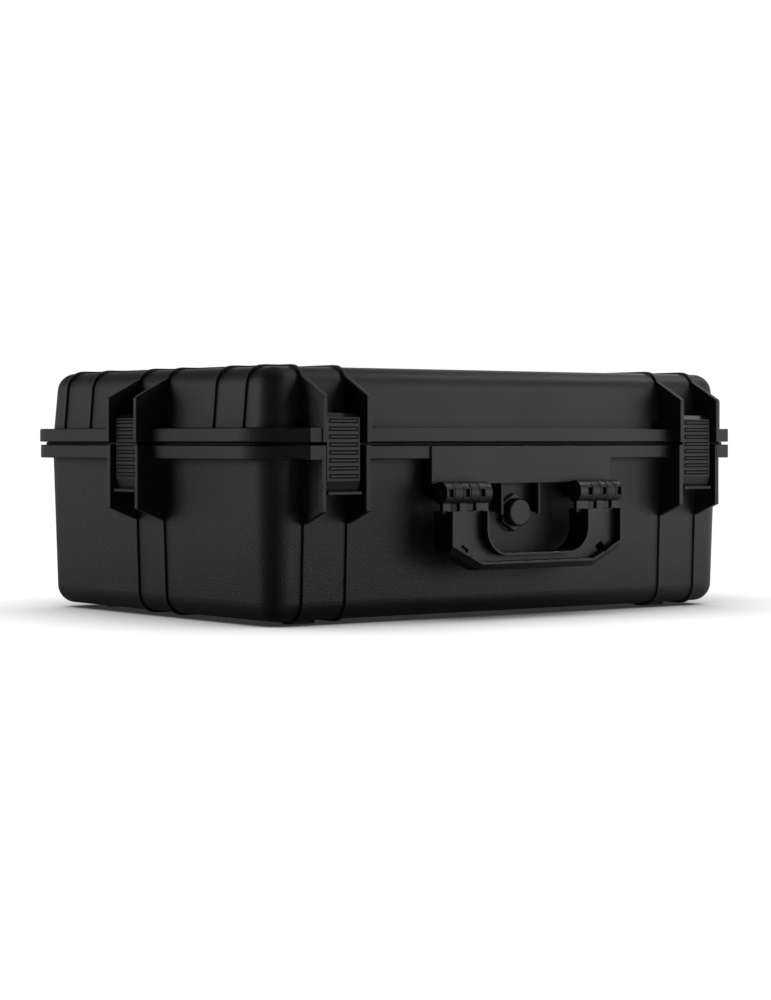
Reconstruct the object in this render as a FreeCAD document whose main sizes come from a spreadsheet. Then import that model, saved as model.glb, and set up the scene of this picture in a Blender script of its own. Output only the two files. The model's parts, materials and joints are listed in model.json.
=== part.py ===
import FreeCAD, Part
import Sketcher
import math
import os
import re

# Hard case: a deep base and a shallow lid, moulded with flanges, ribs and guard plates, closed by four
# latches, carried by a folding handle. The long side lies along X, the front faces -Y, +Z is up.
# Z is zero where the feet rest. "Outward" sizes are counted from the face of the lid flange, and drops and
# rises from the middle of the seam between lid and base.

sizes = {
    # shells
    "shell_length": 492.0,       # outer wall at the seam, along X
    "shell_width": 346.0,        # outer wall at the seam, along Y
    "corner_radius": 21.5,       # upright corners of the wall
    "wall": 4.0,
    "seam_height": 143.0,        # middle of the seam above the resting plane
    "seam_gap": 2.5,             # open joint line between the flanges
    "lid_height": 60.7,          # top of the lid above the seam
    "foot_height": 3.7,
    "base_draft": 2.0,           # degrees
    "lid_draft": 5.0,            # degrees
    "base_round": 16.0,          # edge round under the base
    "lid_round": 16.0,           # edge round on top of the lid
    "edge_break": 0.8,           # chamfer along the flange edges
    # flanges and seal
    "flange_reach": 13.0,        # lid flange beyond the wall
    "flange_corner": 39.0,
    "flange_step": 0.7,          # base flange inside the lid flange
    "flange_rise": 12.5,
    "flange_drop": 12.5,
    "flange_lip": 4.0,           # thickness of the hollow base flange
    "land_inset": 5.5,
    "land_rise": 1.0,
    "tongue_inset": 7.0,
    "tongue_thick": 3.0,
    "tongue_rise": 4.0,
    "groove_play": 0.8,          # groove beside the tongue
    "groove_rise": 7.5,
    "gasket_play": 0.1,
    # feet and ribs
    "foot_length": 28.0,
    "foot_width": 14.0,
    "foot_corner": 6.0,
    "foot_place": 190.0,
    "foot_row": 134.0,
    "rib_width": 2.8,
    "rib_height": 1.8,
    "end_rib_near": 95.5,
    "end_rib_far": 138.0,
    # guard plates beside the latches and hinges
    "latch_place": 189.4,        # middle of the front latches and rear hinges along X
    "guard_pitch": 41.9,
    "guard_thick": 3.3,
    "guard_reach": 13.5,
    "guard_step": 1.3,           # base plates end short of the lid plates
    "guard_top": 37.4,
    "guard_bend": 3.0,           # bend at the top of the rim
    "guard_slant_run": 46.5,
    "guard_slant_rise": 24.3,
    "guard_foot": 52.8,
    "guard_foot_drop": 9.9,
    "border_width": 6.0,
    "border_thick": 0.8,
    "pocket_length": 8.6,
    "pocket_height": 9.8,
    "pocket_depth": 2.0,
    # padlock bosses at the front corners
    "boss_reach": 12.6,
    "boss_face": 13.5,           # flat front of a boss
    "boss_length": 41.0,         # from the guard plate to the end of the ramp
    "boss_back": 20.0,
    "boss_low_lid": 6.2,         # height at the end of the ramp
    "boss_low_base": 4.7,
    "padlock_hole": 7.5,
    "padlock_place": 8.2,        # from the middle of the guard plate
    "padlock_reach": 6.3,
    # latches
    "latch_width": 31.8,
    "latch_top": 24.0,
    "latch_drop": 39.5,
    "latch_face": 8.5,
    "latch_skin": 3.6,
    "latch_cheek": 3.2,
    "latch_back": 1.2,
    "latch_arm_rise": 13.4,      # underside of the arm over the lid flange
    "latch_lip": 2.0,            # finger lip beyond the face
    "latch_lip_height": 2.2,
    "latch_scoop": 1.8,          # hollow over the lip
    "latch_scoop_height": 10.5,
    "latch_scoop_low": 4.0,
    "latch_knee": 3.4,
    "hook_reach": 5.4,           # hook under the base flange, inward of the lid flange face
    "hook_thick": 6.0,
    "hook_play": 0.35,
    "pin_inset": 9.2,            # latch pin inward of the flange face
    "pin_rise": 17.7,
    "pin_diameter": 4.0,
    "latch_barrel": 8.4,
    "pin_play": 0.05,
    "pin_sink": 0.4,             # pin end inside the face of its plate
    "grip_rib_count": 8.0,
    "grip_rib_pitch": 6.15,
    "grip_rib_width": 1.6,
    "grip_rib_height": 0.4,      # above the face
    "grip_rib_margin": 2.9,
    "grip_rib_first": 17.8,      # middle of the first rib
    "grip_groove": 0.9,          # groove round a rib
    "grip_groove_depth": 0.9,
    # rear hinges
    "hinge_reach": 7.0,
    "ear_diameter": 13.0,
    "hinge_pin": 5.0,
    "hinge_play": 0.45,          # gap between ear and barrel along the pin
    # apron over the handle
    "apron_length": 192.8,
    "apron_reach": 1.0,
    "apron_top": 2.3,
    "apron_drop": 32.5,
    "apron_thick": 3.0,
    "web_place": 19.9,
    "web_thick": 2.3,
    "web_inset": 2.5,
    "web_drop": 58.5,            # lower end at the front
    "web_rise": 3.5,             # lower end rises towards the wall
    # handle
    "handle_length": 182.0,
    "handle_depth": 24.0,
    "handle_inset": 3.0,         # back of the handle, inward of the flange face
    "handle_drop": 102.0,
    "handle_top": 54.3,
    "handle_arm": 37.8,
    "handle_grip": 13.3,
    "handle_rim": 1.9,
    "handle_front_channel": 8.0,
    "handle_rear_channel": 12.0,
    "handle_break": 4.7,         # chamfer under the grip, front and rear
    "handle_slant_run": 29.8,
    "handle_slant_rise": 14.85,
    "opening_radius": 20.0,
    "pivot_reach": 9.5,
    "pivot_drop": 39.6,
    "knuckle_diameter": 18.0,
    "knuckle_first": 47.5,
    "knuckle_start": 60.9,
    "knuckle_pitch": 8.4,
    "knuckle_play": 0.5,
    "knuckle_arm": 11.0,
    "handle_pin": 5.0,
    "neck_thick": 4.0,
    "neck_root": 3.0,            # necks run down into the web
    "window_length": 5.0,
    "window_height": 6.3,
    "window_depth": 3.0,
    "slot_length": 8.0,
    "slot_height": 6.0,
    "slot_turn": 32.0,           # degrees
    "slot_place": 73.1,
    "slot_drop": 86.0,
    # pressure valve
    "valve_drop": 56.8,
    "valve_seat": 32.0,          # diameter of the flat seats on the wall
    "valve_seat_thick": 5.6,
    "valve_flats": 27.0,
    "valve_hex": 4.0,
    "valve_inset": 14.4,         # seat inward of the flange face
    "valve_stem": 16.0,
    "valve_play": 0.2,
    "valve_thread": 13.0,        # stem behind the hexagon
    "valve_spigot": 8.0,
    "valve_spigot_length": 5.0,
    "knob_diameter": 23.0,
    "knob_length": 7.1,
    "knob_gap": 0.3,
    "knob_break": 1.2,           # chamfer round its front
    "seal_diameter": 20.5,       # middle of the flat seal
    "seal_width": 3.0,
    "seal_thick": 1.5,
    "seal_play": 0.05,
    "nut_flats": 24.0,
    "nut_thick": 5.0,
    "overrun": 5.0,              # cutters run past the face they cut
}

end_window_share = 0.38          # window of the long knuckle, of the knuckle pitch
flat_share = 1e-6                # how exactly an edge lies in an end plane, of the piece's height

doc = FreeCAD.newDocument("hard_case")
sheet = doc.addObject("Spreadsheet::Sheet", "Sizes")
for row, (alias, size) in enumerate(sizes.items(), 1):
    sheet.set("A%d" % row, alias)
    sheet.set("B%d" % row, repr(size))
    sheet.setAlias("B%d" % row, alias)
doc.recompute()

# Sizes that follow from the sheet, written once in its words.
flange_length = "(shell_length + 2*flange_reach)"
flange_width = "(shell_width + 2*flange_reach)"
base_top = "(seam_height - seam_gap/2)"
lid_low = "(seam_height + seam_gap/2)"
centring = "((handle_depth - handle_inset - guard_reach)/2)"
catch_radius = "(sqrt((pin_inset - flange_step)^2 + (pin_rise + flange_drop)^2) + hook_play)"
stations = {
    "front_left": ("-latch_place", "-" + flange_width + "/2", 0),
    "front_right": ("latch_place", "-" + flange_width + "/2", 0),
    "side_left": ("-" + flange_length + "/2", "0", -90),
    "side_right": (flange_length + "/2", "0", 90),
    "rear_left": ("-latch_place", flange_width + "/2", 180),
    "rear_right": ("latch_place", flange_width + "/2", 180),
}
latch_stations = ("front_left", "front_right", "side_left", "side_right")
hinge_stations = ("rear_left", "rear_right")


def words(text):
    def full(found):
        name = found.group(0)
        return "Sizes." + name if name in sizes else name

    return re.sub(r"[a-z_]+", full, text)


def number(text):
    return float(sheet.evalExpression(words(text)))


def place(thing, x, y, z, turn=0):
    turned = FreeCAD.Rotation(FreeCAD.Vector(0, 0, 1), turn)
    thing.Placement = FreeCAD.Placement(FreeCAD.Vector(), turned)
    for axis, text in zip("xyz", (x, y, z)):
        thing.setExpression("Placement.Base." + axis, words(text))


def new_body(name, station=None, shift="0"):
    body = doc.addObject("PartDesign::Body", name)
    body.AllowCompound = True
    if station:
        x, y, turn = stations[station]
        place(body, x, y + " + " + shift, "seam_height", turn)
    return body


def origin_plane(body, role):
    return [plane for plane in body.Origin.OriginFeatures if plane.Role == role][0]


def new_sketch(body, role, offset="0"):
    sketch = body.newObject("Sketcher::SketchObject", body.Name + "_sketch")
    sketch.AttachmentSupport = [(origin_plane(body, role), "")]
    sketch.MapMode = "FlatFace"
    sketch.setExpression("AttachmentOffset.Base.z", words(offset))
    return sketch


def bound(sketch, kind, text, *points):
    index = sketch.addConstraint(Sketcher.Constraint(kind, *points, number(text)))
    sketch.setExpression("Constraints[%d]" % index, words(text))


# A closed outline through points whose places are written in the sheet's words. A point of four places
# starts an arc to the next point, about the middle that the last two give.
def outline(sketch, points):
    first = sketch.GeometryCount
    count = len(points)
    spots = [FreeCAD.Vector(number(point[0]), number(point[1]), 0) for point in points]
    heads = []
    for side, (start, end) in enumerate(zip(spots, spots[1:] + spots[:1])):
        if len(points[side]) == 2:
            sketch.addGeometry(Part.LineSegment(start, end), False)
            heads.append(1)
            continue
        middle = FreeCAD.Vector(number(points[side][2]), number(points[side][3]), 0)
        left_turn = (start - middle).cross(end - middle).z > 0
        low, high = (start - middle, end - middle) if left_turn else (end - middle, start - middle)
        ring = Part.Circle(middle, FreeCAD.Vector(0, 0, 1), low.Length)
        turns = math.atan2(low.y, low.x), math.atan2(high.y, high.x)
        sketch.addGeometry(Part.ArcOfCircle(ring, *turns), False)
        heads.append(1 if left_turn else 2)
    for side in range(count):
        after = (side + 1) % count
        sketch.addConstraint(
            Sketcher.Constraint("Coincident", first + side, 3 - heads[side], first + after, heads[after]))
    for side, point in enumerate(points):
        bound(sketch, "DistanceX", point[0], -1, 1, first + side, heads[side])
        bound(sketch, "DistanceY", point[1], -1, 1, first + side, heads[side])
        if len(point) > 2:
            bound(sketch, "DistanceX", point[2], -1, 1, first + side, 3)


def rectangle(sketch, left, right, low, high):
    outline(sketch, [(left, low), (right, low), (right, high), (left, high)])


# A station's side view: outward and up, where outward is -Y of the station.
def side_outline(sketch, points):
    turned = []
    for point in points:
        pairs = zip(point[::2], point[1::2])
        turned.append([place for outward, up in pairs for place in ("-(%s)" % outward, up)])
    outline(sketch, turned)


def circle(sketch, x, y, diameter):
    index = sketch.GeometryCount
    middle = FreeCAD.Vector(number(x), number(y), 0)
    sketch.addGeometry(Part.Circle(middle, FreeCAD.Vector(0, 0, 1), number(diameter) / 2), False)
    bound(sketch, "DistanceX", x, -1, 1, index, 3)
    bound(sketch, "DistanceY", y, -1, 1, index, 3)
    bound(sketch, "Diameter", diameter, index)


# A rectangle with round corners: four lines joined by tangent arcs.
def rounded(sketch, length, width, radius, across="0", along="0"):
    first = sketch.GeometryCount
    left, right = "(%s) - (%s)/2" % (across, length), "(%s) + (%s)/2" % (across, length)
    low, high = "(%s) - (%s)/2" % (along, width), "(%s) + (%s)/2" % (along, width)
    x0, x1, y0, y1, bend = (number(text) for text in (left, right, low, high, radius))
    starts = ((x0 + bend, y0), (x1, y0 + bend), (x1 - bend, y1), (x0, y1 - bend))
    ends = ((x1 - bend, y0), (x1, y1 - bend), (x0 + bend, y1), (x0, y0 + bend))
    near, far = (x0 + bend, y0 + bend), (x1 - bend, y1 - bend)
    middles = ((far[0], near[1]), far, (near[0], far[1]), near)
    for corner in range(4):
        start, end = FreeCAD.Vector(*starts[corner]), FreeCAD.Vector(*ends[corner])
        sketch.addGeometry(Part.LineSegment(start, end), False)
        turn = math.pi / 2 * (corner - 1)
        ring = Part.Circle(FreeCAD.Vector(*middles[corner]), FreeCAD.Vector(0, 0, 1), bend)
        sketch.addGeometry(Part.ArcOfCircle(ring, turn, turn + math.pi / 2), False)
    for corner in range(4):
        line, arc = first + 2 * corner, first + 2 * corner + 1
        following = first + (2 * corner + 2) % 8
        sketch.addConstraint(Sketcher.Constraint("Tangent", line, 2, arc, 1))
        sketch.addConstraint(Sketcher.Constraint("Tangent", arc, 2, following, 1))
        sketch.addConstraint(Sketcher.Constraint("Vertical" if corner % 2 else "Horizontal", line))
        if corner:
            sketch.addConstraint(Sketcher.Constraint("Equal", first + 1, arc))
    bound(sketch, "DistanceY", low, -1, 1, first, 1)
    bound(sketch, "DistanceX", right, -1, 1, first + 2, 1)
    bound(sketch, "DistanceY", high, -1, 1, first + 4, 1)
    bound(sketch, "DistanceX", left, -1, 1, first + 6, 1)
    bound(sketch, "Radius", radius, first + 1)


def extrude(kind, body, sketch, length, back=False, middle=False, taper=None):
    feature = body.newObject("PartDesign::" + kind, body.Name + "_" + kind.lower())
    feature.Profile = sketch
    feature.setExpression("Length", words(length))
    feature.Reversed = back
    if middle:
        feature.SideType = "Symmetric"
    if taper:
        feature.setExpression("TaperAngle", "-" + words(taper))
    return feature


def pad(body, sketch, length, **how):
    return extrude("Pad", body, sketch, length, **how)


# A pocket that leaves the volume as it was points the wrong way.
def pocket(body, sketch, length, **how):
    doc.recompute()
    before = body.Shape.Volume
    feature = extrude("Pocket", body, sketch, length, **how)
    doc.recompute()
    if not body.Shape.Volume < before:
        raise ValueError(feature.Name + " cuts nothing")
    return feature


def end_edges(shape, up):
    box = shape.BoundBox
    level, slack = (box.ZMax if up else box.ZMin), box.ZLength * flat_share
    names = []
    for index, edge in enumerate(shape.Edges, 1):
        if abs(edge.BoundBox.ZMin - level) < slack and abs(edge.BoundBox.ZMax - level) < slack:
            names.append("Edge%d" % index)
    return names


def front_edges(shape):
    box = shape.BoundBox
    slack = box.YLength * flat_share
    names = []
    for index, edge in enumerate(shape.Edges, 1):
        if edge.BoundBox.YMax - box.YMin < slack:
            names.append("Edge%d" % index)
    return names


def soften(body, feature, names, radius):
    fillet = body.newObject("PartDesign::Fillet", body.Name + "_fillet")
    fillet.Base = (feature, names)
    fillet.setExpression("Radius", words(radius))
    return fillet


def bevel(body, feature, names, size):
    chamfer = body.newObject("PartDesign::Chamfer", body.Name + "_chamfer")
    chamfer.Base = (feature, names)
    chamfer.setExpression("Size", words(size))
    return chamfer


def mirror(body, role="YZ_Plane"):
    mirrored = body.newObject("PartDesign::Mirrored", body.Name + "_mirrored")
    mirrored.TransformMode = "Whole shape"
    mirrored.MirrorPlane = (origin_plane(body, role), [""])
    body.Tip = mirrored
    return mirrored


def fuse(name, pieces):
    joined = doc.addObject("Part::MultiFuse", name)
    joined.Shapes = pieces
    joined.Refine = True
    return joined


def cut(name, base, tools):
    result = doc.addObject("Part::Cut", name)
    result.Base = base
    result.Tool = tools[0] if len(tools) == 1 else fuse(name + "_cutters", tools)
    result.Refine = True
    return result


def common(name, first, second):
    result = doc.addObject("Part::Common", name)
    result.Base = first
    result.Tool = second
    result.Refine = True
    return result


# A drafted tub with a rounded end, open at the seam side: walls outside, cavity inside, ribs a bit larger.
def tub(name, level, height, grow, draft, end_round, up):
    body = new_body(name)
    sketch = new_sketch(body, "XY_Plane", level)
    rounded(sketch, "shell_length + 2*(%s)" % grow, "shell_width + 2*(%s)" % grow,
            "corner_radius + (%s)" % grow)
    feature = pad(body, sketch, height, back=not up, taper=draft)
    doc.recompute()
    soften(body, feature, end_edges(feature.Shape, up), end_round)
    return body


# A flat ring or plate that follows the flange at an inset from its edge.
def flange_plate(name, level, height, inset, inner=None):
    body = new_body(name)
    sketch = new_sketch(body, "XY_Plane", level)
    for depth in (inset, inner):
        if depth:
            span = "%s - 2*(%s)" % (flange_length, depth), "%s - 2*(%s)" % (flange_width, depth)
            rounded(sketch, span[0], span[1], "flange_corner - (%s)" % depth)
    feature = pad(body, sketch, height)
    return body, feature


# Guard plates: a pair on each side of a latch or hinge, with a raised border along the outer face.
def guard_pair(name, station, points, border):
    body = new_body(name, station)
    sketch = new_sketch(body, "YZ_Plane", "guard_pitch/2")
    side_outline(sketch, points)
    pad(body, sketch, "guard_thick", middle=True)
    sketch = new_sketch(body, "YZ_Plane", "guard_pitch/2 + guard_thick/2")
    side_outline(sketch, border)
    pad(body, sketch, "border_thick")
    mirror(body)
    return body


root = "-(flange_reach + wall)"
slant_fall = "border_width*guard_slant_rise/guard_slant_run"
bend_run = "guard_bend*tan(atan(guard_slant_run/guard_slant_rise)/2)"
slant_length = "sqrt(guard_slant_run^2 + guard_slant_rise^2)"
rim_bend = [("guard_reach", "guard_top - " + bend_run,
             "guard_reach - guard_bend", "guard_top - " + bend_run),
            ("guard_reach - %s*guard_slant_run/%s" % (bend_run, slant_length),
             "guard_top + %s*guard_slant_rise/%s" % (bend_run, slant_length))]
lid_guard = [(root, "seam_gap/2"), ("guard_reach", "seam_gap/2")] + rim_bend + [
             ("guard_reach - guard_slant_run", "guard_top + guard_slant_rise"),
             ("guard_reach - guard_slant_run - wall", "guard_top + guard_slant_rise"),
             ("guard_reach - guard_slant_run - wall", "guard_top")]
lid_border = [("guard_reach - border_width", "seam_gap/2"), ("guard_reach", "seam_gap/2")] + rim_bend + [
              (root, "guard_top + (guard_reach + flange_reach + wall)*guard_slant_rise/guard_slant_run"),
              (root, "guard_top - border_width + (guard_reach - border_width + flange_reach + wall)"
                     "*guard_slant_rise/guard_slant_run"),
              ("guard_reach - border_width", "guard_top - border_width")]
base_rim = "guard_reach - guard_step"
foot_slope = "*guard_foot_drop/(%s + flange_reach)" % base_rim


def base_guard(top):
    plate = [(root, top), (base_rim, top), (base_rim, "-guard_foot"),
             (root, "-guard_foot - (%s + flange_reach + wall)" % base_rim + foot_slope)]
    border = [(base_rim + " - border_width", top), (base_rim, top), (base_rim, "-guard_foot"),
              (root, "-guard_foot - (%s + flange_reach + wall)" % base_rim + foot_slope),
              (root, "border_width - guard_foot - (%s + flange_reach + wall)" % base_rim + foot_slope),
              (base_rim + " - border_width", "border_width - guard_foot - border_width" + foot_slope)]
    return plate, border


# Padlock bosses: a block beside the outer plate of each front latch, ramping back to the flange corner.
def padlock_bosses(name, level, height, low, up):
    body = new_body(name)
    start = "(latch_place + guard_pitch/2)"
    face = "(%s/2 + boss_reach)" % flange_width
    back = "(%s/2 - boss_back)" % flange_width
    sketch = new_sketch(body, "XY_Plane", level)
    outline(sketch, [(start, "-" + back), (start, "-" + face), (start + " + boss_face", "-" + face),
                     (start + " + boss_length", "-" + back)])
    pad(body, sketch, height, back=not up)
    sketch = new_sketch(body, "XZ_Plane", back + " - overrun")
    sign = "+" if up else "-"
    far = "%s + boss_length + overrun" % start
    low_level = "%s %s (%s)" % (level, sign, low)
    high_level = "%s %s (%s)" % (level, sign, height)
    past_level = high_level + " %s overrun" % sign
    outline(sketch, [(start + " + boss_face", high_level), (start + " + boss_length", low_level),
                     (far, low_level), (far, past_level), (start + " + boss_face", past_level)])
    pocket(body, sketch, "boss_reach + boss_back + 2*overrun", back=True)
    sketch = new_sketch(body, "XY_Plane", level + " %s (%s) %s overrun" % (sign, height, sign))
    circle(sketch, start + " + padlock_place", "-(%s/2 + padlock_reach)" % flange_width, "padlock_hole")
    pocket(body, sketch, "(%s) + 2*overrun" % height, back=not up)
    mirror(body)
    return body


# Slabs that cut ribs out of the larger tub.
def rib_slabs(name, level, height, end_rows):
    body = new_body(name)
    half = "rib_width/2"
    sketch = new_sketch(body, "XY_Plane", level)
    for sign in ("-", "+"):
        row = "latch_place %s guard_pitch/2" % sign
        rectangle(sketch, "%s - %s" % (row, half), "%s + %s" % (row, half),
                  "-shell_width/2 - rib_height", "shell_width/2 + rib_height")
    pad(body, sketch, height)
    sketch = new_sketch(body, "XY_Plane", level)
    for row in end_rows:
        for sign in ("-", ""):
            rectangle(sketch, "latch_place + guard_pitch/2", "shell_length/2 + rib_height",
                      "%s(%s) - %s" % (sign, row, half), "%s(%s) + %s" % (sign, row, half))
    pad(body, sketch, height)
    mirror(body)
    return body


# Pin holes, bored along a station's own X.
def bore(name, station, outward, up, diameter, length):
    body = new_body(name, station)
    sketch = new_sketch(body, "YZ_Plane")
    circle(sketch, "-(%s)" % outward, up, diameter)
    pad(body, sketch, length, middle=True)
    return body


# Base shell
wall_drop = "seam_height - seam_gap/2 - foot_height"
base_outer = tub("base_outer", base_top, wall_drop, "0", "base_draft", "base_round", False)
base_cavity = tub("base_cavity", "seam_height + land_rise", "seam_height + land_rise - foot_height - wall",
                  "-wall", "base_draft", "base_round - wall", False)
base_rib_tub = tub("base_rib_tub", base_top, wall_drop + " + rib_height", "rib_height", "base_draft",
                   "base_round + rib_height", False)
base_ribs = common("base_ribs", base_rib_tub,
                   rib_slabs("base_rib_slabs", "0", "seam_height - flange_drop", ["guard_pitch/2"]))
flange_solid, flange_pad = flange_plate("base_flange_solid", "seam_height - flange_drop",
                                        "flange_drop - seam_gap/2", "flange_step")
doc.recompute()
bevel(flange_solid, flange_pad, end_edges(flange_pad.Shape, True) + end_edges(flange_pad.Shape, False),
      "edge_break")
flange_hollow, hollow_pad = flange_plate("base_flange_hollow", "seam_height - flange_drop - overrun",
                                         "flange_drop - seam_gap/2 - flange_lip + overrun",
                                         "flange_step + flange_lip", "flange_reach + wall/2")
base_flange = cut("base_flange", flange_solid, [flange_hollow])
land = flange_plate("base_land", base_top, "seam_gap/2 + land_rise", "land_inset")[0]
tongue = flange_plate("base_tongue", "seam_height + land_rise", "tongue_rise - land_rise", "tongue_inset",
                      "tongue_inset + tongue_thick")[0]

feet = new_body("feet")
feet_sketch = new_sketch(feet, "XY_Plane")
for x_sign in ("-", ""):
    for y_sign in ("-", ""):
        rounded(feet_sketch, "foot_length", "foot_width", "foot_corner",
                x_sign + "foot_place", y_sign + "foot_row")
pad(feet, feet_sketch, "foot_height + wall/2")

base_guards = []
for station in latch_stations + hinge_stations:
    top = "-flange_drop" if station in hinge_stations else "-seam_gap/2"
    plate, border = base_guard(top)
    base_guards.append(guard_pair("base_guard_" + station, station, plate, border))
base_bosses = padlock_bosses("base_bosses", base_top, "flange_drop - seam_gap/2", "boss_low_base", False)

# Rear hinge barrels: a barrel on a block under it, joined to the base flange.
hinge_blocks = []
hinge_bores = []
barrel_length = "guard_pitch - guard_thick - 2*hinge_play"
for station in hinge_stations:
    block = new_body("hinge_block_" + station, station)
    block_sketch = new_sketch(block, "YZ_Plane")
    side_outline(block_sketch, [("-flange_reach", "-seam_gap/2"), ("hinge_reach", "-seam_gap/2"),
                                ("hinge_reach", "-ear_diameter/2"), ("-flange_step", "-flange_drop"),
                                ("-flange_reach", "-flange_drop")])
    pad(block, block_sketch, barrel_length, middle=True)
    barrel_sketch = new_sketch(block, "YZ_Plane")
    circle(barrel_sketch, "-hinge_reach", "0", "ear_diameter")
    pad(block, barrel_sketch, barrel_length, middle=True)
    hinge_blocks.append(block)
    hinge_bores.append(bore("hinge_bore_" + station, station, "hinge_reach", "0", "hinge_pin + 2*pin_play",
                            "guard_pitch + 2*guard_thick + 2*overrun"))

# Apron: a hollow shelf below the flange that the handle hangs under.
apron = new_body("apron")
apron_face = "(%s/2 + apron_reach)" % flange_width
apron_sketch = new_sketch(apron, "XZ_Plane", apron_face)
rectangle(apron_sketch, "-apron_length/2", "apron_length/2",
          "seam_height - apron_drop", "seam_height - apron_top")
pad(apron, apron_sketch, "flange_reach + apron_reach + wall/2", back=True)
apron_sketch = new_sketch(apron, "XY_Plane", "seam_height - apron_drop")
rectangle(apron_sketch, "apron_thick - apron_length/2", "apron_length/2 - apron_thick",
          "apron_thick - " + apron_face, "wall - shell_width/2")
pocket(apron, apron_sketch, "apron_drop - flange_drop", back=True)

webs = new_body("apron_webs")
web_sketch = new_sketch(webs, "YZ_Plane", "web_place")
web_front = "%s/2 - web_inset" % flange_width
side_outline(web_sketch, [("shell_width/2 - wall", "seam_height - flange_drop"),
                          (web_front, "seam_height - flange_drop"),
                          (web_front, "seam_height - web_drop"),
                          ("shell_width/2 - wall", "seam_height - web_drop + web_rise")])
pad(webs, web_sketch, "web_thick", middle=True)
mirror(webs)

# Base knuckles of the handle: two on each side, on arms from the wall.
pivot = "(%s/2 + pivot_reach)" % flange_width
pivot_height = "(seam_height - pivot_drop)"
knuckles = new_body("base_knuckles")
for step in ("0", "2"):
    start = "knuckle_start + %s*knuckle_pitch" % step
    knuckle_sketch = new_sketch(knuckles, "YZ_Plane", start)
    side_outline(knuckle_sketch, [("shell_width/2 - wall", pivot_height + " - knuckle_arm/2"),
                                  (pivot, pivot_height + " - knuckle_arm/2"),
                                  (pivot, pivot_height + " + knuckle_arm/2"),
                                  ("shell_width/2 - wall", pivot_height + " + knuckle_arm/2")])
    pad(knuckles, knuckle_sketch, "knuckle_pitch")
    knuckle_sketch = new_sketch(knuckles, "YZ_Plane", start)
    circle(knuckle_sketch, "-" + pivot, pivot_height, "knuckle_diameter")
    pad(knuckles, knuckle_sketch, "knuckle_pitch")
mirror(knuckles)
pivot_bore = new_body("pivot_bore")
pivot_sketch = new_sketch(pivot_bore, "YZ_Plane", "knuckle_first - overrun")
circle(pivot_sketch, "-" + pivot, pivot_height, "handle_pin + 2*pin_play")
pad(pivot_bore, pivot_sketch, "knuckle_start + 4*knuckle_pitch - knuckle_first + 2*overrun")
mirror(pivot_bore)

# Flat seats for the valve on both faces of the drafted front wall, and the hole through them.
valve_height = "(seam_height - valve_drop)"
valve_face = "(%s/2 - valve_inset)" % flange_width
seats = new_body("valve_seats")
seat_sketch = new_sketch(seats, "XZ_Plane", valve_face)
circle(seat_sketch, "0", valve_height, "valve_seat")
pad(seats, seat_sketch, "valve_seat_thick", back=True)
valve_hole = new_body("valve_hole")
hole_sketch = new_sketch(valve_hole, "XZ_Plane", valve_face + " + overrun")
circle(hole_sketch, "0", valve_height, "valve_stem + 2*valve_play")
pad(valve_hole, hole_sketch, "valve_seat_thick + 2*overrun", back=True)

base_pieces = [base_outer, base_ribs, base_flange, land, tongue, feet, base_bosses, apron, webs, knuckles]
base_solid = fuse("base_solid", base_pieces + base_guards + hinge_blocks)
base_open = cut("base_open", base_solid, [base_cavity])
base_seated = fuse("base_seated", [base_open, seats])
base_shell = cut("base_shell", base_seated, [valve_hole, pivot_bore] + hinge_bores)

# Lid shell
wall_rise = "lid_height - seam_gap/2"
lid_outer = tub("lid_outer", lid_low, wall_rise, "0", "lid_draft", "lid_round", True)
lid_cavity = tub("lid_cavity", lid_low, wall_rise + " - wall", "-wall", "lid_draft", "lid_round - wall",
                 True)
lid_rib_tub = tub("lid_rib_tub", lid_low, wall_rise + " + rib_height", "rib_height", "lid_draft",
                  "lid_round + rib_height", True)
lid_ribs = common("lid_ribs", lid_rib_tub,
                  rib_slabs("lid_rib_slabs", lid_low, "lid_height + rib_height",
                            ["guard_pitch/2", "end_rib_near", "end_rib_far"]))
lid_flange, lid_flange_pad = flange_plate("lid_flange", lid_low, "flange_rise - seam_gap/2", "0")
doc.recompute()
bevel(lid_flange, lid_flange_pad,
      end_edges(lid_flange_pad.Shape, True) + end_edges(lid_flange_pad.Shape, False), "edge_break")
groove = flange_plate("lid_groove", lid_low + " - overrun", "groove_rise - seam_gap/2 + overrun",
                      "tongue_inset - groove_play", "tongue_inset + tongue_thick + groove_play")[0]
lid_guards = [guard_pair("lid_guard_" + station, station, lid_guard, lid_border)
              for station in latch_stations + hinge_stations]
lid_bosses = padlock_bosses("lid_bosses", lid_low, "flange_rise - seam_gap/2", "boss_low_lid", True)
lid_ears = []
for station in hinge_stations:
    ears = new_body("lid_ears_" + station, station)
    ear_sketch = new_sketch(ears, "YZ_Plane", "guard_pitch/2")
    circle(ear_sketch, "-hinge_reach", "0", "ear_diameter")
    pad(ears, ear_sketch, "guard_thick", middle=True)
    mirror(ears)
    lid_ears.append(ears)

# Pockets beside the latch plates let the pins in from their ends.
pin_cuts = []
for station in latch_stations:
    pocket_body = new_body("pin_pocket_" + station, station)
    pocket_sketch = new_sketch(pocket_body, "XZ_Plane", "pocket_depth - flange_reach - wall")
    beside = "guard_pitch/2 + guard_thick/2"
    rectangle(pocket_sketch, beside, beside + " + pocket_length",
              "flange_rise", "flange_rise + pocket_height")
    pad(pocket_body, pocket_sketch, "flange_reach + wall - pocket_depth")
    mirror(pocket_body)
    pin_cuts.append(pocket_body)
    pin_cuts.append(bore("pin_bore_" + station, station, "-pin_inset", "pin_rise",
                         "pin_diameter + 2*pin_play", "guard_pitch + 2*guard_thick + 2*overrun"))

lid_solid = fuse("lid_solid", [lid_outer, lid_ribs, lid_flange, lid_bosses] + lid_guards + lid_ears)
lid_shell = cut("lid_shell", lid_solid, [lid_cavity, groove] + pin_cuts + hinge_bores)

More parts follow.
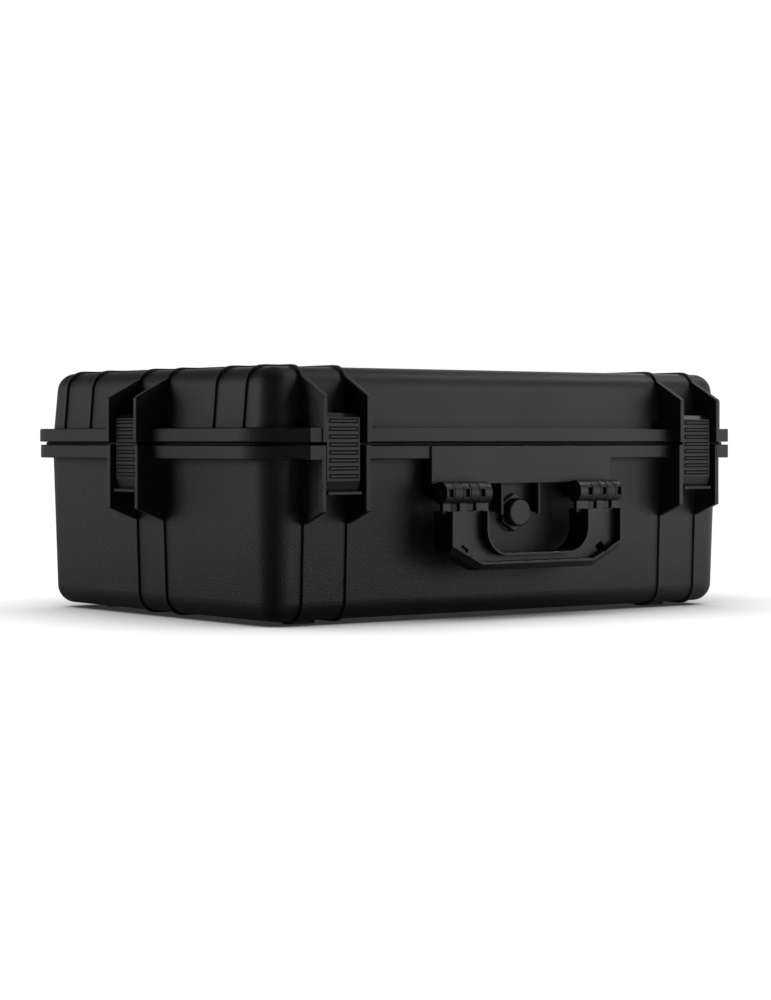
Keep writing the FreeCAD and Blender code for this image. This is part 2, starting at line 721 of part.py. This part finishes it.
lid_gasket = flange_plate("lid_gasket", "seam_height + tongue_rise + gasket_play",
                          "groove_rise - tongue_rise - gasket_play",
                          "tongue_inset - groove_play + gasket_play",
                          "tongue_inset + tongue_thick + groove_play - gasket_play")[0]

# Latches: an arm from the pin over the lid flange, a ribbed plate between cheeks, a hook under the base
# flange. The hook is relieved on a circle about the pin, so that it swings clear.
latches = []
pins = []
for station in latch_stations:
    latch = new_body("latch_" + station, station, centring)
    hook_sketch = new_sketch(latch, "YZ_Plane")
    side_outline(hook_sketch, [("-hook_reach", "-flange_drop + hook_thick"), ("latch_face - latch_skin/2",
                               "-flange_drop + hook_thick"),
                               ("latch_face - latch_skin/2", "-flange_drop - 2*hook_thick"),
                               ("latch_back", "-flange_drop - 2*hook_thick"),
                               ("-hook_reach", "-flange_drop - hook_thick")])
    pad(latch, hook_sketch, "latch_width", middle=True)
    swing_sketch = new_sketch(latch, "YZ_Plane")
    circle(swing_sketch, "pin_inset", "pin_rise", "2*" + catch_radius)
    pocket(latch, swing_sketch, "latch_width + 2*overrun", middle=True)
    arm_sketch = new_sketch(latch, "YZ_Plane")
    side_outline(arm_sketch, [("-pin_inset", "latch_arm_rise"), ("latch_back", "latch_arm_rise"),
                              ("latch_back", "-flange_drop - hook_thick"),
                              ("latch_face - latch_skin", "-flange_drop - 2*hook_thick"),
                              ("latch_face - latch_skin", "latch_scoop_height - latch_drop"),
                              ("latch_face - latch_scoop - latch_skin/2", "latch_scoop_low - latch_drop"),
                              ("latch_face - latch_scoop", "-latch_drop"),
                              ("latch_face + latch_lip", "-latch_drop"),
                              ("latch_face + latch_lip", "latch_lip_height - latch_drop"),
                              ("latch_face - latch_scoop", "latch_scoop_low - latch_drop"),
                              ("latch_face", "latch_scoop_height - latch_drop"),
                              ("latch_face", "latch_top - latch_knee"),
                              ("latch_face - latch_knee", "latch_top"),
                              ("-pin_inset", "pin_rise + latch_barrel/2")])
    pad(latch, arm_sketch, "latch_width", middle=True)
    eye_sketch = new_sketch(latch, "YZ_Plane")
    circle(eye_sketch, "pin_inset", "pin_rise", "latch_barrel")
    pad(latch, eye_sketch, "latch_width", middle=True)
    trough_sketch = new_sketch(latch, "YZ_Plane")
    side_outline(trough_sketch, [("latch_back - overrun", "latch_arm_rise - latch_skin"),
                                 ("latch_face - latch_skin", "latch_arm_rise - latch_skin"),
                                 ("latch_face - latch_skin", "-flange_drop + hook_play"),
                                 ("latch_back - overrun", "-flange_drop + hook_play")])
    pocket(latch, trough_sketch, "latch_width - 2*latch_cheek", middle=True)
    hole_sketch = new_sketch(latch, "YZ_Plane")
    circle(hole_sketch, "pin_inset", "pin_rise", "pin_diameter + 2*pin_play")
    pocket(latch, hole_sketch, "latch_width + 2*overrun", middle=True)
    groove_sketch = new_sketch(latch, "XZ_Plane", "latch_face")
    for margin, half in (("grip_rib_margin - grip_groove", "grip_rib_width/2 + grip_groove"),
                         ("grip_rib_margin", "grip_rib_width/2")):
        rectangle(groove_sketch, margin + " - latch_width/2", "latch_width/2 - (%s)" % margin,
                  "grip_rib_first - (%s)" % half, "grip_rib_first + " + half)
    rib_groove = pocket(latch, groove_sketch, "grip_groove_depth")
    rib_sketch = new_sketch(latch, "XZ_Plane", "latch_face")
    rectangle(rib_sketch, "grip_rib_margin - latch_width/2", "latch_width/2 - grip_rib_margin",
              "grip_rib_first - grip_rib_width/2", "grip_rib_first + grip_rib_width/2")
    rib = pad(latch, rib_sketch, "grip_rib_height")
    ribs = latch.newObject("PartDesign::LinearPattern", "latch_ribs")
    ribs.Originals = [rib_groove, rib]
    ribs.Direction = (rib_sketch, ["V_Axis"])
    ribs.Reversed = True
    ribs.Mode = "Spacing"
    ribs.setExpression("Offset", words("grip_rib_pitch"))
    ribs.setExpression("Occurrences", words("grip_rib_count"))
    latch.Tip = ribs
    latches.append(latch)
    pin = bore("latch_pin_" + station, station, "-pin_inset", "pin_rise", "pin_diameter",
               "guard_pitch + guard_thick - 2*pin_sink")
    pins.append(pin)
    x, y, turn = stations[station]
    place(pin, x, y + " + " + centring, "seam_height", turn)

for station in hinge_stations:
    pin = bore("hinge_pin_" + station.split("_")[1], station, "hinge_reach", "0", "hinge_pin",
               "guard_pitch + guard_thick - 2*pin_sink")
    x, y, turn = stations[station]
    place(pin, x, y + " + " + centring, "seam_height", turn)
    pins.append(pin)

# Handle: a bail of I section, hung on three knuckles at each side.
frame = new_body("handle_frame")
handle_front = "(%s/2 - handle_inset + handle_depth)" % flange_width
handle_back = "(%s/2 - handle_inset)" % flange_width


# The bail's outline, drawn in by a margin at the sides, by another along the slants and below, and cut off
# higher or lower at the top.
def bail(sketch, inset, low_inset, top_rise):
    outer, inner = "(handle_length/2 - %s)" % inset, "(handle_length/2 - handle_arm + %s)" % inset
    low = "(seam_height - handle_drop + %s)" % low_inset
    top = "(seam_height - handle_top + %s)" % top_rise
    grip = "(seam_height - handle_drop + handle_grip - %s)" % inset
    shift = "1 + %s*sqrt(1/handle_slant_run^2 + 1/handle_slant_rise^2)" % low_inset
    slant_top = "(seam_height - handle_drop + handle_slant_rise*(%s - %s/handle_slant_run))" % (shift, inset)
    slant_end = "(handle_length/2 - handle_slant_run*(%s - %s/handle_slant_rise))" % (shift, low_inset)
    bend = "(opening_radius + %s)" % inset
    side, rise = "(%s - %s)" % (inner, bend), "(%s + %s)" % (grip, bend)
    outline(sketch, [(slant_end, low), (outer, slant_top), (outer, top), (inner, top),
                     (inner, rise, side, rise), (side, grip),
                     ("-" + side, grip, "-" + side, rise), ("-" + inner, rise),
                     ("-" + inner, top), ("-" + outer, top), ("-" + outer, slant_top),
                     ("-" + slant_end, low)])


def low_edges(shape):
    box = shape.BoundBox
    slack = box.ZLength * flat_share
    names = []
    for index, edge in enumerate(shape.Edges, 1):
        if edge.BoundBox.ZMin - box.ZMin < slack and edge.BoundBox.YLength < slack:
            names.append("Edge%d" % index)
    return names


bail_sketch = new_sketch(frame, "XZ_Plane", handle_front)
bail(bail_sketch, "0", "0", "0")
bail_pad = pad(frame, bail_sketch, "handle_depth", back=True)
doc.recompute()
bevel(frame, bail_pad, low_edges(bail_pad.Shape), "handle_break")
channel_sketch = new_sketch(frame, "XZ_Plane", handle_front)
bail(channel_sketch, "handle_rim", "(handle_break + handle_rim)", "overrun")
pocket(frame, channel_sketch, "handle_front_channel")
channel_sketch = new_sketch(frame, "XZ_Plane", handle_back)
bail(channel_sketch, "handle_rim", "(handle_break + handle_rim)", "overrun")
pocket(frame, channel_sketch, "handle_rear_channel", back=True)

# A slanted slot through the web in each lower corner.
slot_sketch = new_sketch(frame, "XZ_Plane", handle_front)
slot_height = "(seam_height - slot_drop)"
slot_points = []
for along, up in (("-", "-"), ("+", "-"), ("+", "+"), ("-", "+")):
    slot_points.append((
        "slot_place %s slot_length/2*cos(slot_turn) %s -slot_height/2*sin(slot_turn)" % (along, up),
        slot_height + " %s slot_length/2*sin(slot_turn) %s slot_height/2*cos(slot_turn)" % (along, up)))
outline(slot_sketch, slot_points)
outline(slot_sketch, [("-(%s)" % x, z) for x, z in reversed(slot_points)])
pocket(frame, slot_sketch, "handle_depth")

bars = new_body("handle_knuckles")
spans = (("knuckle_first", "knuckle_start - knuckle_play"),
         ("knuckle_start + knuckle_pitch + knuckle_play", "knuckle_start + 2*knuckle_pitch - knuckle_play"),
         ("knuckle_start + 3*knuckle_pitch + knuckle_play", "knuckle_start + 4*knuckle_pitch"))
web_face = "(%s - handle_front_channel)" % handle_front
for start, end in spans:
    span = "(%s) - (%s)" % (end, start)
    bar_sketch = new_sketch(bars, "YZ_Plane", start)
    circle(bar_sketch, "-" + pivot, pivot_height, "knuckle_diameter")
    pad(bars, bar_sketch, span)
    neck_sketch = new_sketch(bars, "YZ_Plane", start)
    side_outline(neck_sketch, [(web_face, pivot_height), (web_face, "seam_height - handle_top - neck_root"),
                               (web_face + " - neck_thick", "seam_height - handle_top - neck_root"),
                               (web_face + " - neck_thick", pivot_height)])
    pad(bars, neck_sketch, span)
window_sketch = new_sketch(bars, "XZ_Plane", pivot + " + knuckle_diameter/2")
for middle in ("knuckle_start - %r*knuckle_pitch" % end_window_share, "knuckle_start + 1.5*knuckle_pitch",
               "knuckle_start + 3.5*knuckle_pitch"):
    rectangle(window_sketch, middle + " - window_length/2", middle + " + window_length/2",
              pivot_height + " - window_height/2", pivot_height + " + window_height/2")
pocket(bars, window_sketch, "window_depth")
mirror(bars)
handle = cut("handle", fuse("handle_solid", [frame, bars]), [pivot_bore])

for side, sign in (("left", "-"), ("right", "")):
    pin = new_body("handle_pin_" + side)
    pin_sketch = new_sketch(pin, "YZ_Plane", sign + "knuckle_first")
    circle(pin_sketch, "-" + pivot, pivot_height, "handle_pin")
    pad(pin, pin_sketch, "knuckle_start + 4*knuckle_pitch - knuckle_first", back=side == "left")
    place(pin, "0", centring, "0")
    pins.append(pin)


# Pressure valve: a hexagon with a threaded stem through the wall, a flat seal under it, a nut inside, a knob
# in front.
def hexagon(sketch, flats, height):
    reach = "(%s)/sqrt(3)" % flats
    points = []
    corners = (("0", "-1"), ("1", "-0.5"), ("1", "0.5"), ("0", "1"), ("-1", "0.5"), ("-1", "-0.5"))
    for across, up in corners:
        points.append(("%s*(%s)/2" % (across, flats), "%s + %s*%s" % (height, up, reach)))
    outline(sketch, points)


valve = new_body("valve_body")
hex_front = valve_face + " + valve_hex"
hex_sketch = new_sketch(valve, "XZ_Plane", valve_face)
hexagon(hex_sketch, "valve_flats", valve_height)
pad(valve, hex_sketch, "valve_hex")
recess_sketch = new_sketch(valve, "XZ_Plane", valve_face)
circle(recess_sketch, "0", valve_height, "seal_diameter + seal_width + 2*seal_play")
circle(recess_sketch, "0", valve_height, "seal_diameter - seal_width - 2*seal_play")
pocket(valve, recess_sketch, "seal_thick", back=True)
stem_sketch = new_sketch(valve, "XZ_Plane", valve_face)
circle(stem_sketch, "0", valve_height, "valve_stem")
pad(valve, stem_sketch, "valve_thread", back=True)
spigot_sketch = new_sketch(valve, "XZ_Plane", hex_front)
circle(spigot_sketch, "0", valve_height, "valve_spigot")
pad(valve, spigot_sketch, "valve_spigot_length")
place(valve, "0", centring, "0")

knob = new_body("valve_knob")
knob_sketch = new_sketch(knob, "XZ_Plane", hex_front + " + knob_gap")
circle(knob_sketch, "0", valve_height, "knob_diameter")
knob_pad = pad(knob, knob_sketch, "knob_length")
doc.recompute()
bevel(knob, knob_pad, front_edges(knob_pad.Shape), "knob_break")
spigot_sketch = new_sketch(knob, "XZ_Plane", hex_front + " + knob_gap")
circle(spigot_sketch, "0", valve_height, "valve_spigot + 2*pin_play")
pocket(knob, spigot_sketch, "valve_spigot_length", back=True)
place(knob, "0", centring, "0")

seal = new_body("valve_seal")
seal_sketch = new_sketch(seal, "XZ_Plane", valve_face)
circle(seal_sketch, "0", valve_height, "seal_diameter + seal_width")
circle(seal_sketch, "0", valve_height, "seal_diameter - seal_width")
pad(seal, seal_sketch, "seal_thick")
place(seal, "0", centring, "0")

nut = new_body("valve_nut")
nut_sketch = new_sketch(nut, "XZ_Plane", valve_face + " - valve_seat_thick")
hexagon(nut_sketch, "nut_flats", valve_height)
circle(nut_sketch, "0", valve_height, "valve_stem + 2*pin_play")
pad(nut, nut_sketch, "nut_thick", back=True)
place(nut, "0", centring, "0")

for moulding in (base_shell, lid_shell, handle, lid_gasket):
    place(moulding, "0", centring, "0")
doc.recompute()

nodes = [base_shell, lid_shell, lid_gasket, handle, valve, knob, seal, nut] + latches + pins
for thing in doc.Objects:
    if "Invalid" in thing.State or "Error" in thing.State:
        raise ValueError("%s: %s" % (thing.Name, thing.State))
for node in nodes:
    shape = node.Shape
    if shape.isNull() or not shape.isValid() or len(shape.Solids) != 1:
        raise ValueError("%s: bad shape, %d solids" % (node.Label, len(shape.Solids)))
os.makedirs("parts", exist_ok=True)
for node in nodes:
    node.Shape.exportStep("parts/%s.step" % node.Label)
    box = node.Shape.BoundBox
    print("%-24s %9.1f mm3  x %7.1f %7.1f  y %7.1f %7.1f  z %7.1f %7.1f" % (
        node.Label, node.Shape.Volume, box.XMin, box.XMax, box.YMin, box.YMax, box.ZMin, box.ZMax))
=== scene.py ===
import json
import math

import bpy
import numpy as np
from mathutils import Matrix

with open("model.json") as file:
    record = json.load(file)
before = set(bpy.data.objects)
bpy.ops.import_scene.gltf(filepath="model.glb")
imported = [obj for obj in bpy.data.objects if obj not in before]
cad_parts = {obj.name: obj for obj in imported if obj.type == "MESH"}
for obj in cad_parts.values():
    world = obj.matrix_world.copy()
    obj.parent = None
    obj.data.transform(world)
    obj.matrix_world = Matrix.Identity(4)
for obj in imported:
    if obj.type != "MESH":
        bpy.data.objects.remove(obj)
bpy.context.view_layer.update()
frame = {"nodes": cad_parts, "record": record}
print("case loaded:", len(frame["nodes"]), "nodes")

noiseMiddle = 0.5  # the value that a noise swings about


# A socket with arithmetic: an expression on signals adds the Math nodes that it needs.
class Signal:
    def __init__(self, tree, socket):
        self.tree, self.socket = tree, socket

    # any node: its kind, its settings, then its sockets by name or number; out picks the result
    def node(self, kind, settings=None, sockets=None, out=0):
        made = self.tree.nodes.new(kind)
        for key, value in (settings or {}).items():
            setattr(made, key, value)
        for key, value in (sockets or {}).items():
            if isinstance(value, Signal):
                self.tree.links.new(value.socket, made.inputs[key])
            else:
                made.inputs[key].default_value = value
        return Signal(self.tree, made.outputs[out])

    def reckon(self, operation, first, second):
        return self.node("ShaderNodeMath", {"operation": operation}, {0: first, 1: second})

    def __add__(self, other): return self.reckon("ADD", self, other)
    def __radd__(self, other): return self.reckon("ADD", other, self)
    def __sub__(self, other): return self.reckon("SUBTRACT", self, other)
    def __rsub__(self, other): return self.reckon("SUBTRACT", other, self)
    def __mul__(self, other): return self.reckon("MULTIPLY", self, other)
    def __rmul__(self, other): return self.reckon("MULTIPLY", other, self)

    def ramp(self, low, high):  # 0 below low, 1 above high, clamped
        return self.node("ShaderNodeMapRange", {"clamp": True},
                         {"Value": self, "From Min": low, "From Max": high})

    def blend(self, first, second):  # colours mixed by this signal
        return self.node("ShaderNodeMix", {"data_type": "RGBA"},
                         {0: self, 6: first, 7: second}, out=2)


def newMaterial(name):
    material = bpy.data.materials.new(name)
    material.use_nodes = True
    tree = material.node_tree
    tree.nodes.clear()
    output = tree.nodes.new("ShaderNodeOutputMaterial")
    surface = tree.nodes.new("ShaderNodeBsdfPrincipled")
    tree.links.new(surface.outputs[0], output.inputs[0])
    start = Signal(tree, None)
    spot = start.node("ShaderNodeTexCoord", out=3)  # Object coordinates, in metres
    return material, surface, spot


def feed(surface, **values):
    for key, value in values.items():
        socket = surface.inputs[key.replace("_", " ")]
        if isinstance(value, Signal):
            value.tree.links.new(value.socket, socket)
        else:
            socket.default_value = value


def noise(spot, scale, detail=2.0, rough=0.5):
    return spot.node("ShaderNodeTexNoise", None,
                     {"Vector": spot, "Scale": scale, "Detail": detail, "Roughness": rough})


# What the three moulded finishes share. A noise after its scale: detail, roughness.
moulding = {
    "pitSmoothness": 0.6, "fineNoise": (3.0, 0.6), "broadNoise": (3.0, 0.55),
    "smearScale": 4.3, "smearNoise": (4.0, 0.6), "smearRange": (0.35, 0.7),
    "edgeSamples": 6, "edgeRange": (0.02, 0.25), "edgeGloss": 0.14,
    "toneRange": (0.3, 0.7), "broadShare": 0.6, "fineShare": 0.4, "fineSpread": 0.12,
    # the gap entries set the painted shade in narrow grooves: its samples, its black tone and its
    # roughness
    "paintedShadeSamples": 8, "paintedShadeTone": (0.002, 0.002, 0.002, 1), "paintedShadeRough": 0.95,
}


# moulded plastic: a grain of small pits, slow changes of gloss, edges that are rounded,
# glossier and rubbed a little brighter, and painted shade in narrow grooves
def mouldedPlastic(name, finish):
    material, surface, spot = newMaterial(name)
    pits = spot.node("ShaderNodeTexVoronoi", {"feature": "SMOOTH_F1"},
                     {"Vector": spot, "Scale": finish["pitScale"],
                      "Smoothness": moulding["pitSmoothness"]})
    fine = noise(spot, finish["fineScale"], *moulding["fineNoise"])
    broad = noise(spot, finish["broadScale"], *moulding["broadNoise"])
    smear = noise(spot, finish["broadScale"] * moulding["smearScale"], *moulding["smearNoise"])
    rounded = spot.node("ShaderNodeBevel", {"samples": moulding["edgeSamples"]},
                        {"Radius": finish["edgeRadius"]})
    plain = spot.node("ShaderNodeNewGeometry", out=1)
    bend = 1 - spot.node("ShaderNodeVectorMath", {"operation": "DOT_PRODUCT"},
                         {0: rounded, 1: plain}, out=1)
    edge = bend.ramp(*moulding["edgeRange"])
    rub = edge * smear.ramp(*moulding["smearRange"])
    grain = pits * finish["pitShare"] + fine * (1 - finish["pitShare"])
    relief = spot.node("ShaderNodeBump", None,
                       {"Strength": finish["relief"], "Distance": finish["depth"],
                        "Height": grain, "Normal": rounded})
    patches = (broad.ramp(*moulding["toneRange"]) * moulding["broadShare"]
               + fine.ramp(*moulding["toneRange"]) * moulding["fineShare"])
    tone = patches.blend(finish["dark"], finish["light"])
    feed(surface, Base_Color=(rub * finish["wear"]).blend(tone, finish["worn"]),
         Roughness=finish["rough"] + (broad - noiseMiddle) * finish["roughSpread"]
         - edge * moulding["edgeGloss"] + (fine - noiseMiddle) * moulding["fineSpread"],
         Specular_IOR_Level=finish["shine"], Normal=relief)
    # painted shade in narrow grooves, laid over the finish
    paintShadeInGaps(material, surface, spot, finish)
    return material


# painted shade: where walls stand close in narrow grooves, the finish gives way to a dull black
# that stands in for the shade there
def paintShadeInGaps(material, surface, spot, finish):
    tree = material.node_tree
    paintedShadeSurface = spot.node("ShaderNodeBsdfPrincipled", None,
                     {"Base Color": moulding["paintedShadeTone"], "Roughness": moulding["paintedShadeRough"],
                      "Specular IOR Level": 0.0})
    paintedShadeClearing = spot.node("ShaderNodeAmbientOcclusion", {"samples": moulding["paintedShadeSamples"]},
                         {"Distance": finish["paintedShadeReach"]}, out=1)
    finishWithPaintedShade = spot.node("ShaderNodeMixShader", None,
                     {0: (1 - paintedShadeClearing).ramp(*finish["paintedShadeRange"]),
                      1: Signal(tree, surface.outputs[0]), 2: paintedShadeSurface})
    tree.links.new(finishWithPaintedShade.socket, tree.nodes["Material Output"].inputs[0])


# in each finish the gap entries give the reach and the darkness range of the painted groove shade
shellFinish = {
    "dark": (0.0065, 0.0065, 0.0068, 1), "light": (0.0105, 0.0105, 0.0108, 1),
    "worn": (0.03, 0.03, 0.031, 1), "wear": 0.6,
    "rough": 0.52, "roughSpread": 0.14, "shine": 0.5,
    "pitScale": 780.0, "fineScale": 1500.0, "broadScale": 9.0, "pitShare": 0.65,
    "relief": 1.0, "depth": 0.00026, "edgeRadius": 0.0011,
    "paintedShadeReach": 0.004, "paintedShadeRange": (0.4, 0.68),
}
latchFinish = {
    "dark": (0.006, 0.006, 0.0062, 1), "light": (0.009, 0.009, 0.0092, 1),
    "worn": (0.03, 0.03, 0.031, 1), "wear": 0.7,
    "rough": 0.38, "roughSpread": 0.12, "shine": 0.27,
    "pitScale": 1500.0, "fineScale": 2600.0, "broadScale": 22.0, "pitShare": 0.4,
    "relief": 0.4, "depth": 0.00008, "edgeRadius": 0.0003,
    "paintedShadeReach": 0.0018, "paintedShadeRange": (0.25, 0.6),
}
fittingFinish = {
    "dark": (0.0065, 0.0065, 0.0068, 1), "light": (0.0105, 0.0105, 0.0108, 1),
    "worn": (0.035, 0.035, 0.036, 1), "wear": 0.8,
    "rough": 0.48, "roughSpread": 0.14, "shine": 0.5,
    "pitScale": 1100.0, "fineScale": 2000.0, "broadScale": 18.0, "pitShare": 0.5,
    "relief": 0.8, "depth": 0.0002, "edgeRadius": 0.0008,
    "paintedShadeReach": 0.0018, "paintedShadeRange": (0.25, 0.6),
}
casePlastic = mouldedPlastic("casePlastic", shellFinish)
latchPlastic = mouldedPlastic("latchPlastic", latchFinish)
fittingPlastic = mouldedPlastic("fittingPlastic", fittingFinish)


# drawn steel: a fine grain and a dull oxide film in patches. A noise: scale, detail, roughness.
pinFinish = {
    "bare": (0.28, 0.28, 0.285, 1), "film": (0.09, 0.09, 0.092, 1),
    "rough": 0.36, "roughSpread": 0.2, "relief": 0.2, "depth": 0.00004,
    "grain": (1800.0, 4.0, 0.65), "patches": (120.0, 3.0), "patchRange": (0.4, 0.7),
}


def drawnSteel(name, finish):
    material, surface, spot = newMaterial(name)
    grain = noise(spot, *finish["grain"])
    patches = noise(spot, *finish["patches"]).ramp(*finish["patchRange"])
    relief = spot.node("ShaderNodeBump", None,
                       {"Strength": finish["relief"], "Distance": finish["depth"], "Height": grain})
    feed(surface, Base_Color=patches.blend(finish["bare"], finish["film"]), Metallic=1.0,
         Roughness=finish["rough"] + (grain - noiseMiddle) * finish["roughSpread"], Normal=relief)
    return material


pinSteel = drawnSteel("pinSteel", pinFinish)


# soft rubber: matt, with a dusty bloom. A noise: scale, detail, roughness.
sealFinish = {
    "dark": (0.012, 0.012, 0.012, 1), "dusty": (0.03, 0.03, 0.03, 1),
    "rough": 0.72, "roughSpread": 0.2, "relief": 0.3, "depth": 0.00005,
    "bloom": (160.0, 4.0, 0.6), "bloomRange": (0.35, 0.75), "skin": (2400.0, 2.0),
}


def softRubber(name, finish):
    material, surface, spot = newMaterial(name)
    bloom = noise(spot, *finish["bloom"])
    skin = noise(spot, *finish["skin"])
    relief = spot.node("ShaderNodeBump", None,
                       {"Strength": finish["relief"], "Distance": finish["depth"], "Height": skin})
    feed(surface,
         Base_Color=bloom.ramp(*finish["bloomRange"]).blend(finish["dark"], finish["dusty"]),
         Roughness=finish["rough"] + (bloom - noiseMiddle) * finish["roughSpread"], Normal=relief)
    return material


sealRubber = softRubber("sealRubber", sealFinish)

finishOf = {"case_plastic": casePlastic, "latch_plastic": latchPlastic,
            "fitting_plastic": fittingPlastic, "pin_steel": pinSteel, "seal_rubber": sealRubber}
for subpart in frame["record"]["subparts"]:
    for slot in frame["nodes"][subpart["node"]].material_slots:
        slot.material = finishOf[subpart["material_slot"]]
print("finishes set:", len(finishOf))


# The stage: a profile of floor, quarter turn and wall, in metres and counts.
stageSheet = {"halfWidth": 9.0, "front": -4.0, "back": 5.0, "turnRadius": 2.0, "height": 5.0,
              "bends": 24, "columns": 24, "sectors": 96}
viewTurn = -37.2  # degrees about Z, the way that the camera looks and the stage is turned


# The quarter turn, then the wall: out = back + radius * sin, up = radius * (1 - cos).
def stageProfile(sheet):
    angle = np.linspace(0, math.pi / 2, sheet["bends"])
    radius = sheet["turnRadius"]
    out = np.concatenate([sheet["back"] + radius * np.sin(angle), [sheet["back"] + radius]])
    up = np.concatenate([radius * (1 - np.cos(angle)), [sheet["height"]]])
    return out, up


# A sheet open to the front: the profile carried along X, u across and v along it.
def openSheet(sheet):
    out, up = stageProfile(sheet)
    out, up = np.concatenate([[sheet["front"]], out]), np.concatenate([[0.0], up])
    across = np.linspace(-sheet["halfWidth"], sheet["halfWidth"], sheet["columns"])
    x, y = np.meshgrid(across, out)
    return x, y, np.repeat(up[:, None], len(across), axis=1)


# A dish closed all round: the profile turned about Z, u round it and v outwards.
def roundDish(sheet):
    out, up = stageProfile(sheet)
    out, up = np.concatenate([[0.0], out]), np.concatenate([[0.0], up])
    turn, reach = np.meshgrid(np.linspace(0, 2 * math.pi, sheet["sectors"]), out)
    height = np.repeat(up[:, None], sheet["sectors"], axis=1)
    return reach * np.cos(turn), reach * np.sin(turn), height


# A grid of points made a mesh, with a quad between each point and its next in u and v.
def gridMesh(name, x, y, z):
    rows, columns = x.shape
    corner = (np.arange(rows - 1)[:, None] * columns + np.arange(columns - 1)).ravel()
    faces = np.stack([corner, corner + 1, corner + columns + 1, corner + columns], axis=1)
    points = np.stack([x.ravel(), y.ravel(), z.ravel()], axis=1)
    mesh = bpy.data.meshes.new(name)
    mesh.from_pydata(points.tolist(), [], faces.tolist())
    mesh.shade_smooth()
    return mesh


# glowing paper: an even white glow, dimmed by a painted shadow where the case stands close over it
def glowingPaperWithPaintedShadow(name, paper):
    material, surface, spot = newMaterial(name)
    paintedShadeClearing = spot.node("ShaderNodeAmbientOcclusion", {"samples": paper["samples"]},
                         {"Distance": paper["reach"]}, out=1)
    fibre = noise(spot, *paper["fibre"])
    shade = (paintedShadeClearing.ramp(paper["closed"], paper["clear"])
             + (fibre - noiseMiddle) * paper["fibreSpread"])
    across = spot.node("ShaderNodeSeparateXYZ", None, {"Vector": spot}, out=0)
    sides = (across.ramp(*paper["sideRange"]) * paper["right"]
             + (0 - across).ramp(*paper["sideRange"]) * paper["left"])
    glowWithPaintedShadow = shade * (sides + paper["middle"])
    feed(surface, Base_Color=(0, 0, 0, 1), Roughness=1.0, Specular_IOR_Level=0.0,
         Emission_Strength=paper["strength"],
         Emission_Color=glowWithPaintedShadow.blend(paper["shadow"], paper["white"]))
    return material


def addSheet(name, surface, paper):
    made = bpy.data.objects.new(name, gridMesh(name, *surface(stageSheet)))
    made.data.materials.append(glowingPaperWithPaintedShadow(name, paper))
    bpy.context.scene.collection.objects.link(made)
    made.rotation_euler = (0, 0, math.radians(viewTurn))
    made.visible_shadow = False  # neither sheet shades the other
    return made


# The sheet that the picture shows, and one in the same place for what the case reflects,
# dimmer before and behind the case
# reach, closed and clear shape the painted shadow round the case; shadow is its darkest tone
shownPaper = {"strength": 1.0, "reach": 0.18, "closed": 0.18, "clear": 0.9, "samples": 12,
              "fibre": (40.0, 4.0), "fibreSpread": 0.02,
              "middle": 1.0, "left": 0.0, "right": 0.0, "sideRange": (0.1, 0.6),
              "shadow": (0.03, 0.03, 0.03, 1), "white": (1.04, 1.04, 1.04, 1)}
bouncePaper = dict(shownPaper, strength=1.1, middle=0.03, left=0.32, right=1.0)
shown = addSheet("shownSheet", roundDish, shownPaper)
shown.visible_glossy = shown.visible_diffuse = False
bounce = addSheet("bounceSheet", openSheet, bouncePaper)
bounce.visible_camera = False
print("stage made")

# Soft boxes: where each stands, what it points at, its size and its power in watts
caseMiddle = (0.0, 0.0, 0.1)
sideSize = (0.86, 0.68)
softBoxes = {
    "keyRight": {"at": (0.83, -1.44, 0.36), "to": caseMiddle, "size": sideSize, "power": 5.6},
    "fillRight": {"at": (1.44, -0.83, 0.45), "to": caseMiddle, "size": sideSize, "power": 1.4},
    "edgeLeft": {"at": (-1.44, 0.83, 0.45), "to": caseMiddle, "size": sideSize, "power": 5.0},
    "backLeft": {"at": (-0.83, 1.44, 0.45), "to": caseMiddle, "size": sideSize, "power": 0.6},
    "backFill": {"at": (1.13, 1.13, 0.65), "to": caseMiddle, "size": (1.2, 0.8), "power": 4.0},
    "overhead": {"at": (0.2, 0.3, 1.9), "to": caseMiddle, "size": (1.6, 1.6), "power": 2.0},
    "rimRight": {"at": (0.95, -0.3, 1.2), "to": (0.15, -0.16, 0.19), "size": (0.22, 0.22),
                 "power": 3.6},
}


def addSoftBox(name, box):
    lamp = bpy.data.lights.new(name, "AREA")
    lamp.shape, lamp.energy = "RECTANGLE", box["power"]
    lamp.size, lamp.size_y = box["size"]
    made = bpy.data.objects.new(name, lamp)
    aim = np.subtract(box["to"], box["at"])
    flat = math.hypot(aim[0], aim[1])
    made.location = box["at"]
    made.rotation_euler = (math.atan2(flat, -aim[2]), 0, math.atan2(-aim[0], aim[1]))
    bpy.context.scene.collection.objects.link(made)


for name, box in softBoxes.items():
    addSoftBox(name, box)

roomLight = {"tone": (1.0, 1.0, 1.0, 1), "strength": 0.02}
world = bpy.data.worlds.new("room")
world.use_nodes = True
sky = world.node_tree.nodes["Background"]
sky.inputs["Color"].default_value = roomLight["tone"]
sky.inputs["Strength"].default_value = roomLight["strength"]
bpy.context.scene.world = world
bpy.context.scene.view_settings.view_transform = "Standard"
print("lights set:", len(softBoxes))

# The camera stands level, turned to the near corner; the shift keeps the case where the
# photograph has it.
viewPoint = {"at": (-1.3541, -1.77895, 0.147), "lens": 91.32, "sensor": 36.0,
             "shiftY": -0.0614, "farEnd": 60.0}
camera = bpy.data.cameras.new("viewPoint")
camera.lens, camera.sensor_width = viewPoint["lens"], viewPoint["sensor"]
camera.shift_y, camera.clip_end = viewPoint["shiftY"], viewPoint["farEnd"]
eye = bpy.data.objects.new("viewPoint", camera)
eye.location = viewPoint["at"]
eye.rotation_euler = (math.radians(90), 0, math.radians(viewTurn))
bpy.context.scene.collection.objects.link(eye)
bpy.context.scene.camera = eye

bpy.context.view_layer.update()
